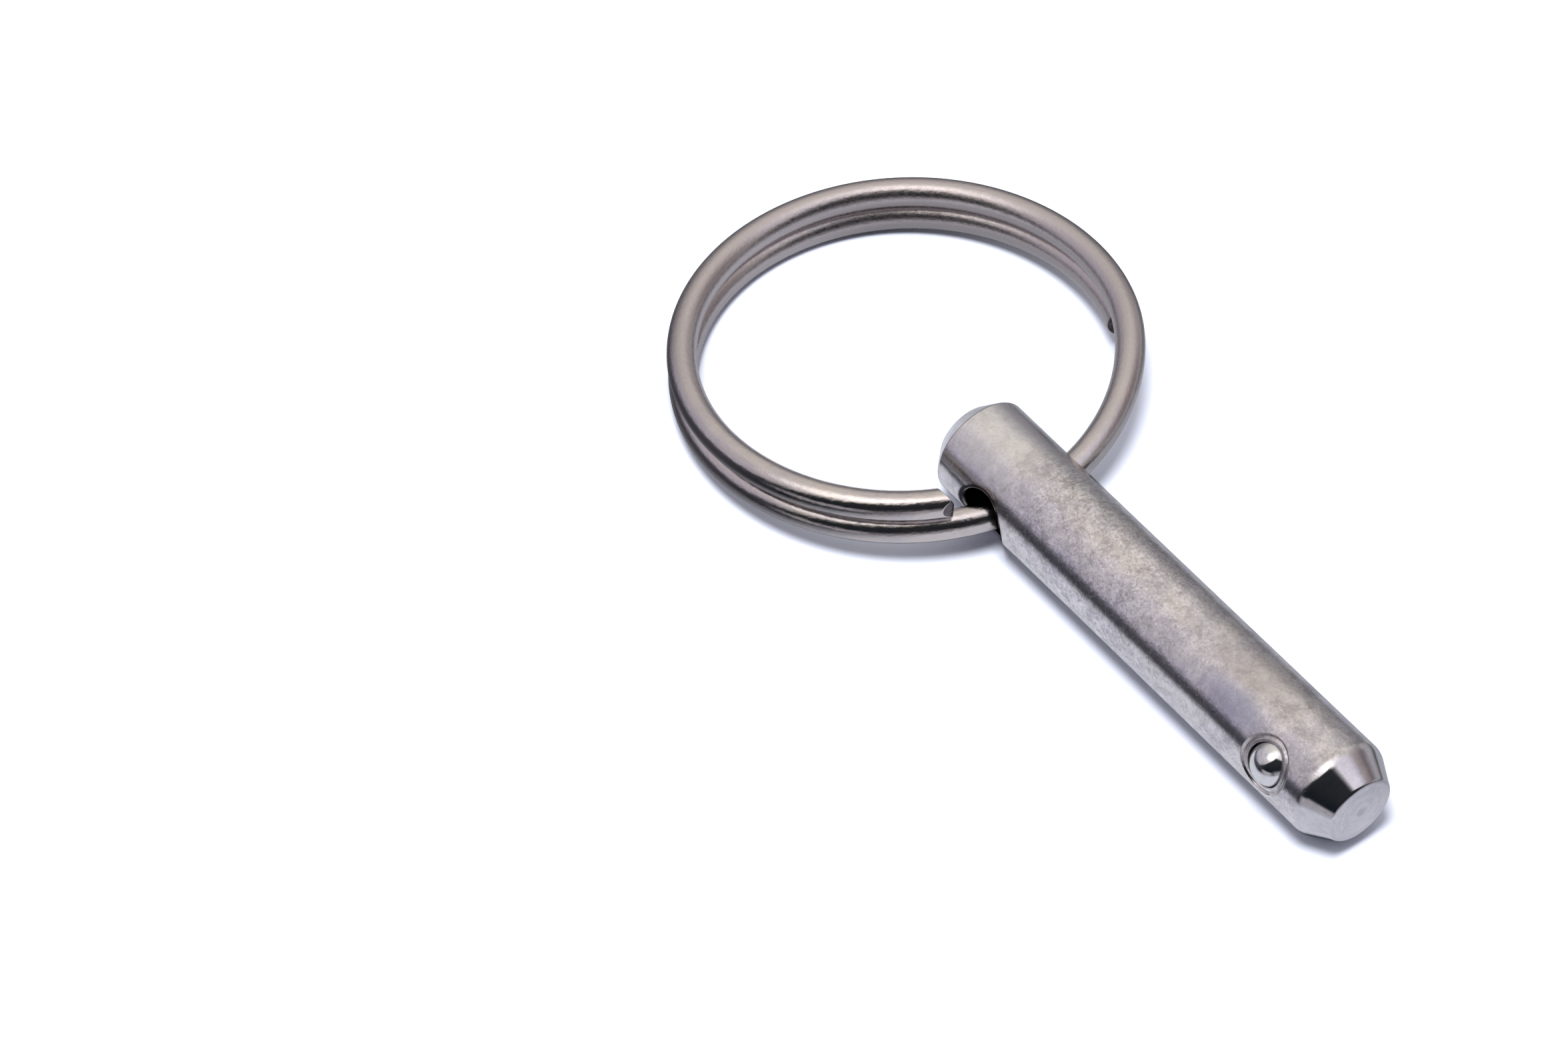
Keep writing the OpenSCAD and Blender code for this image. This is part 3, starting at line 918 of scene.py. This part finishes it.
# The table, overexposed to white as in the picture. Its mirror image in the metal comes from a second sheet, which is
# only as bright as the metal shows and falls off a short way from the pin.
floor = plane("table_top", 0.9, FLOOR_Z * MM)
floor.visible_glossy = False
floor.visible_shadow = False
mat = bpy.data.materials.new("white_table")
mat.use_nodes = True
nt = Nodes(mat.node_tree)
out = nt.add("ShaderNodeOutputMaterial")
bsdf = nt.add("ShaderNodeBsdfPrincipled")
nt.t.links.new(bsdf.outputs[0], out.inputs[0])
bsdf.inputs["Base Color"].default_value = (0.80, 0.84, 0.97, 1)
bsdf.inputs["Roughness"].default_value = 0.9
bsdf.inputs["Specular IOR Level"].default_value = 0.1
floor.data.materials.append(mat)

pool = plane("table_pool", 0.12, FLOOR_Z * MM - 0.00002)
pool.visible_camera = False
pool.visible_diffuse = False
pool.visible_shadow = False
mat = bpy.data.materials.new("table_light_pool")
mat.use_nodes = True
nt = Nodes(mat.node_tree)
out = nt.add("ShaderNodeOutputMaterial")
bsdf = nt.add("ShaderNodeBsdfDiffuse")
clear = nt.add("ShaderNodeBsdfTransparent")
blend = nt.add("ShaderNodeMixShader")
tc = nt.add("ShaderNodeTexCoord")
mm = nt.vec("SCALE", tc.outputs["Object"], scale=1000.0)
sep = nt.add("ShaderNodeSeparateXYZ")
nt.put(sep.inputs[0], mm)
qx = nt.math("DIVIDE", nt.math("SUBTRACT", sep.outputs[0], POOL[0]), POOL[2])
mid_y = nt.span(sep.outputs[0], 6.0, 20.0, POOL[1], POOL[1] - 4.5)    # it bends towards the camera beside the tip
qy = nt.math("DIVIDE", nt.math("SUBTRACT", sep.outputs[1], mid_y), POOL[3])
q = nt.math("SQRT", nt.math("ADD", nt.math("MULTIPLY", qx, qx), nt.math("MULTIPLY", qy, qy)))
nt.put(blend.inputs[0], nt.span(q, POOL[4], POOL[5], 1.0, 0.0))
nt.t.links.new(clear.outputs[0], blend.inputs[1])
nt.t.links.new(bsdf.outputs[0], blend.inputs[2])
nt.t.links.new(blend.outputs[0], out.inputs[0])
# Painted shadow on the mirrored sheet: it darkens on the far side of the pin from 1.5 mm back and again from 12 mm,
# with a slightly lighter band 10 to 14 mm back.
far = nt.math("MULTIPLY", nt.span(sep.outputs[1], 1.5, 7.5, 1.0, 0.62), nt.span(sep.outputs[1], 12.0, 27.0, 1.0, 0.78))
far = nt.math("MULTIPLY", far, nt.span(sep.outputs[1], 10.0, 14.0, 1.0, 1.12))
nt.put(bsdf.inputs["Color"], grey(nt, far, POOL_COLOR))
pool.data.materials.append(mat)

world = bpy.data.worlds.new("studio_dome")
bpy.context.scene.world = world
world.use_nodes = True
nt = Nodes(world.node_tree)
out = nt.add("ShaderNodeOutputWorld")
bg = nt.add("ShaderNodeBackground")
nt.t.links.new(bg.outputs[0], out.inputs[0])
tc = nt.add("ShaderNodeTexCoord")
direction = tc.outputs["Generated"]
sep = nt.add("ShaderNodeSeparateXYZ")
nt.put(sep.inputs[0], direction)
elev = nt.math("MULTIPLY", nt.math("ARCSINE", sep.outputs[2]), 57.29578)


def azimuth_from(centre):
    """Degrees round from the given azimuth, -180 to 180."""
    turn = nt.add("ShaderNodeVectorRotate", rotation_type="Z_AXIS")
    nt.put(turn.inputs["Vector"], direction)
    turn.inputs["Angle"].default_value = math.radians(-centre)
    xyz = nt.add("ShaderNodeSeparateXYZ")
    nt.put(xyz.inputs[0], turn.outputs[0])
    return nt.math("MULTIPLY", nt.math("ARCTAN2", xyz.outputs[1], xyz.outputs[0]), 57.29578)


# Brightness of the dome by height.
t = nt.span(elev, -90.0, 90.0, 0.0, 1.0, "LINEAR")
dome = nt.ramp(t, [((e + 90) / 180, c) for e, c in DOME])
# Right of the picture: the room is bright down to the table.
off = nt.math("ABSOLUTE", azimuth_from(RIGHT[0]))
right_fill = nt.math("MULTIPLY", nt.span(off, RIGHT[1], RIGHT[2], 1.0, 0.0), nt.span(elev, RIGHT[3], RIGHT[4], RIGHT[5], 0.0))
right_fill = nt.math("MULTIPLY", right_fill, nt.span(elev, -14.0, -2.0))
dome = nt.mix(1.0, dome, grey(nt, right_fill, (0.99, 0.99, 1.03)), "ADD")
# Left of the picture: a bright strip that starts just above the table.
off = nt.math("ABSOLUTE", azimuth_from(LEFT[0]))
left_fill = nt.math("MULTIPLY", nt.span(off, LEFT[1], LEFT[2], 1.0, 0.0), nt.span(elev, LEFT[3], LEFT[4]))
left_fill = nt.math("MULTIPLY", left_fill, nt.span(elev, LEFT[5], LEFT[6], LEFT[7], 0.0))
dome = nt.mix(1.0, dome, grey(nt, left_fill, (0.97, 0.94, 1.06)), "ADD")
# Its lower part is lilac.
hue = nt.math("MULTIPLY", nt.span(nt.math("ABSOLUTE", azimuth_from(-135.0)), 26.0, 52.0, 1.0, 0.0), nt.span(elev, 72.0, 46.0))
dome = nt.mix(hue, dome, (0.960, 0.956, 1.060), "MULTIPLY")


def lamp(where, tint):
    """A soft round light in the dome."""
    global dome
    la, le = math.radians(where[0]), math.radians(where[1])
    dot = nt.add("ShaderNodeVectorMath", operation="DOT_PRODUCT")
    nt.put(dot.inputs[0], direction)
    dot.inputs[1].default_value = (math.cos(le) * math.cos(la), math.cos(le) * math.sin(la), math.sin(le))
    glow = nt.span(dot.outputs["Value"], math.cos(math.radians(where[3])), math.cos(math.radians(where[2])), 0.0, where[4])
    dome = nt.mix(1.0, dome, grey(nt, glow, tint), "ADD")


lamp(LAMP, (1.0, 1.0, 1.0))
lamp(FRONT_LAMP, (1.0, 1.0, 1.0))
lamp(RIGHT_LAMP, (0.72, 0.80, 1.35))
lamp(RIGHT_SHADE, (0.96, 1.06, 1.0))
lamp(BACK_LAMP, (1.0, 0.975, 0.955))
lamp(LEFT_SHADE, (1.0, 0.99, 0.98))
# The dark room behind the camera.
turn = nt.math("DIVIDE", nt.math("ADD", azimuth_from(0.0), 180.0), 360.0)


def by_azimuth(stops, lo, hi):
    """A curve over azimuth, from a list of (azimuth, value)."""
    col = nt.ramp(turn, [((a + 180) / 360, (v - lo) / (hi - lo)) for a, v in stops])
    return nt.math("ADD", nt.math("MULTIPLY", col, hi - lo), lo)


above = nt.math("SUBTRACT", elev, by_azimuth(DARK_TOP, -20.0, 80.0))
soft = by_azimuth(DARK_SOFT, 0.0, 4.0)
clear_of = nt.span(above, nt.math("MULTIPLY", soft, DARK_EDGE[0]), nt.math("MULTIPLY", soft, DARK_EDGE[1]))
left_over = by_azimuth(DARK_LEFT, 0.0, 1.0)
lit = nt.math("ADD", left_over, nt.math("MULTIPLY", nt.math("SUBTRACT", 1.0, left_over), clear_of))
dome = nt.mix(1.0, dome, grey(nt, lit), "MULTIPLY")
dome = nt.mix(1.0, dome, grey(nt, nt.math("SUBTRACT", 1.0, lit), (0.004, 0.008, 0.013)), "ADD")
# The table carries on in front of the tip, past the pool.
for part in (FAR_TABLE, NEAR_TABLE):
    off = nt.math("ABSOLUTE", azimuth_from(part[0]))
    far_fill = nt.math("MULTIPLY", nt.span(off, part[1], part[2], 1.0, 0.0), nt.span(elev, part[3], part[4]))
    far_fill = nt.math("MULTIPLY", far_fill, nt.span(elev, part[5], part[6], part[7], 0.0))
    dome = nt.mix(1.0, dome, grey(nt, far_fill, (0.98, 0.97, 1.04)), "ADD")
nt.put(bg.inputs["Color"], dome)
bg.inputs["Strength"].default_value = 1.0

# Soft key overhead, which whitens the table and leaves a narrow shadow. The metal doesn't mirror it.
area = bpy.data.lights.new("key", "AREA")
area.shape = "DISK"
area.size = KEY[3]
area.energy = KEY[4]
key = bpy.data.objects.new("key", area)
bpy.context.scene.collection.objects.link(key)
ka, ke, kd = math.radians(KEY[0]), math.radians(KEY[1]), KEY[2]
key.location = (kd * math.cos(ke) * math.cos(ka), kd * math.cos(ke) * math.sin(ka), kd * math.sin(ke))
key.rotation_euler = (Vector((0, 0, 0)) - key.location).to_track_quat("-Z", "Y").to_euler()
key.visible_glossy = False

# Camera: long lens, looking down at the photograph's angle.
cam = bpy.data.cameras.new("camera")
cam.sensor_fit = "HORIZONTAL"
cam.sensor_width = 36.0
cam.lens = 9500.0 / 2352.0 * 36.0
cam.clip_start = 0.01
cam.clip_end = 10.0
cam_ob = bpy.data.objects.new("camera", cam)
bpy.context.scene.collection.objects.link(cam_ob)
az, el = math.radians(52.825), math.radians(49.113)
back = Vector((math.sin(az) * math.cos(el), -math.cos(az) * math.cos(el), math.sin(el)))
right = Vector((math.cos(az), math.sin(az), 0.0))
up = back.cross(right)
rot = Matrix((right, up, back)).transposed()
where = (Vector((17.0 - GRIP, 0, 0)) - 20.964 * right + 5.177 * up + 357.588 * back) * MM
cam_ob.matrix_world = Matrix.Translation(where) @ rot.to_4x4()
bpy.context.scene.camera = cam_ob

view = bpy.context.scene.view_settings
view.view_transform = "Standard"
view.look = "None"

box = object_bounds()
